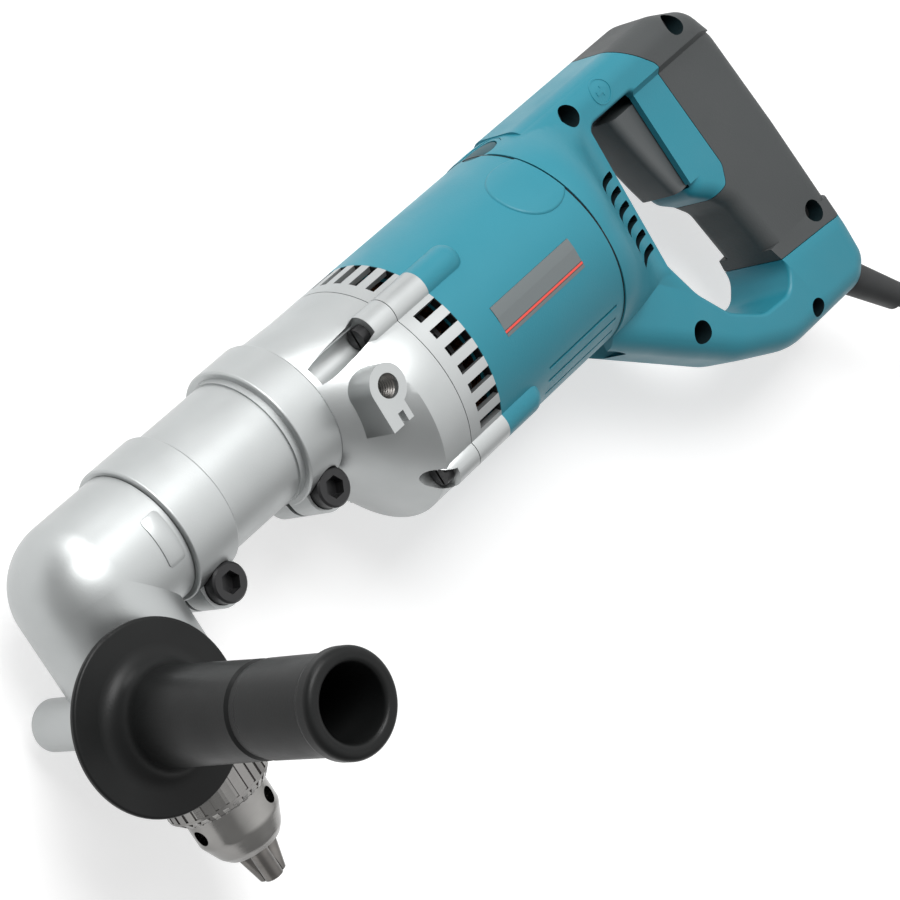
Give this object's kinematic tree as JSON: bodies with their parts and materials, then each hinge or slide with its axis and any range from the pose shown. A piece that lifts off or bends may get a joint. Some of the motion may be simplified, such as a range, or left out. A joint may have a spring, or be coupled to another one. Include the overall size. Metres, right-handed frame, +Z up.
{
  "type": "right angle drill",
  "caption": "Corded right angle drill with a swivelling bevel-gear head, key chuck, screw-on side grip, split clamp sleeve, gear case, motor and rear D-handle with trigger and reversing lever.",
  "frame": {"origin": "middle of the underside of the drill as it lies on its side, without the free cord", "axes": "+X along the motor from the angle head to the D-handle, -Y the way the chuck points, +Z up along the side grip"},
  "size_m": [0.8158, 0.2394, 0.2018],
  "materials": {
    "cast_aluminium": "satin cast",
    "teal_housing": "fine moulded grain",
    "grip_rubber": "matt",
    "black_plastic": "moulded",
    "black_steel": "blackened",
    "steel": "ground",
    "chuck_steel": "turned",
    "plate": "printed foil, left bare",
    "copper": "enamelled wire",
    "lamination": "stacked sheet",
    "fan_plastic": "moulded",
    "carbon": "pressed carbon",
    "brass": "turned",
    "bronze": "sintered",
    "cord_rubber": "smooth"
  },
  "bodies": {
    "tool": {"motor_housing": "teal_housing", "name_plate": "plate", "gear_housing": "cast_aluminium", "gear_housing_cover": "cast_aluminium", "housing_screws": "steel", "intermediate_bushes": "bronze", "output_bearing": "steel", "output_bush": "bronze", "field_core": "lamination", "field_coils": "copper", "armature_bearings": "steel", "brush_holders": "brass", "carbon_brushes": "carbon", "brush_springs": "steel", "brush_caps": "black_plastic", "handle_half_upper": "teal_housing", "handle_half_lower": "teal_housing", "grip_cover_upper": "grip_rubber", "grip_cover_lower": "grip_rubber", "handle_screws": "black_steel", "switch_body": "black_plastic", "cord_guard": "cord_rubber", "cord_clamp": "black_plastic", "cord_clamp_screws": "steel", "power_cord": "cord_rubber", "cord_coil": "cord_rubber", "coil_tie": "black_plastic", "power_plug": "cord_rubber", "coupling_sleeve": "cast_aluminium", "clamp_bolts": "black_steel"},
    "head": {"angle_head": "cast_aluminium", "pinion_bearings": "steel", "spindle_bearings": "steel", "bearing_retainer": "steel", "side_grip": "black_plastic", "side_grip_stud": "steel"},
    "pinion": {"bevel_pinion": "steel"},
    "spindle": {"bevel_gear": "steel", "chuck_spindle": "steel", "chuck_body": "chuck_steel"},
    "key_ring": {"key_sleeve": "chuck_steel", "chuck_nut": "steel"},
    "jaw_1": {"chuck_jaw_1": "steel"},
    "jaw_2": {"chuck_jaw_2": "steel"},
    "jaw_3": {"chuck_jaw_3": "steel"},
    "intermediate": {"intermediate_wheel": "steel", "intermediate_shaft": "steel"},
    "output": {"output_gear": "steel", "output_spindle": "steel"},
    "armature": {"armature_shaft": "steel", "armature_core": "lamination", "armature_windings": "copper", "commutator": "copper", "fan": "fan_plastic"},
    "trigger": {"trigger": "black_plastic"},
    "reversing_lever": {"reversing_lever": "black_plastic"}
  },
  "joints": [
    {"name": "intermediate_spin", "type": "hinge", "parent": "tool", "child": "intermediate", "pos_m": [-0.04606, 0.0448, 0.02636], "axis": [1, 0, 0], "continuous": true},
    {"name": "armature_spin", "type": "hinge", "parent": "tool", "child": "armature", "pos_m": [0.02894, 0.04292, 0.04833], "axis": [1, 0, 0], "continuous": true},
    {"name": "output_spin", "type": "hinge", "parent": "tool", "child": "output", "pos_m": [-0.06106, 0.06342, 0.04833], "axis": [1, 0, 0], "continuous": true},
    {"name": "head_swivel", "type": "hinge", "parent": "tool", "child": "head", "pos_m": [-0.15106, 0.06342, 0.04833], "axis": [1, 0, 0], "continuous": true},
    {"name": "pinion_spin", "type": "hinge", "parent": "head", "child": "pinion", "pos_m": [-0.16106, 0.06342, 0.04833], "axis": [1, 0, 0], "continuous": true},
    {"name": "spindle_spin", "type": "hinge", "parent": "head", "child": "spindle", "pos_m": [-0.19106, 0.00342, 0.04833], "axis": [0, 1, 0], "continuous": true},
    {"name": "key_ring_turn", "type": "hinge", "parent": "spindle", "child": "key_ring", "pos_m": [-0.19106, -0.02658, 0.04833], "axis": [0, 1, 0], "range_deg": [0, 2905]},
    {"name": "jaw_1_slide", "type": "slide", "parent": "spindle", "child": "jaw_1", "axis": [0.2756, 0.9613, 0], "range_m": [0, 0.0205]},
    {"name": "jaw_2_slide", "type": "slide", "parent": "spindle", "child": "jaw_2", "axis": [-0.1378, 0.9613, -0.2387], "range_m": [0, 0.0205]},
    {"name": "jaw_3_slide", "type": "slide", "parent": "spindle", "child": "jaw_3", "axis": [-0.1378, 0.9613, 0.2387], "range_m": [0, 0.0205]},
    {"name": "trigger_pull", "type": "slide", "parent": "tool", "child": "trigger", "axis": [1, 0, 0], "range_m": [0, 0.007], "stiffness_N_per_m": 700, "springref_m": -0.004},
    {"name": "reversing_lever_swing", "type": "hinge", "parent": "tool", "child": "reversing_lever", "pos_m": [0.16384, 0.07042, 0.04833], "axis": [0, 1, 0], "range_deg": [-12, 12]}
  ],
  "couplings": [
    {"joint": "armature_spin", "follows": "intermediate_spin", "ratio": -6},
    {"joint": "output_spin", "follows": "intermediate_spin", "ratio": -0.16129},
    {"joint": "pinion_spin", "follows": "intermediate_spin", "ratio": -0.16129},
    {"joint": "spindle_spin", "follows": "intermediate_spin", "ratio": -0.080645},
    {"joint": "jaw_1_slide", "follows": "key_ring_turn", "m_per_rad": 0.00040425},
    {"joint": "jaw_2_slide", "follows": "key_ring_turn", "m_per_rad": 0.00040425},
    {"joint": "jaw_3_slide", "follows": "key_ring_turn", "m_per_rad": 0.00040425}
  ]
}
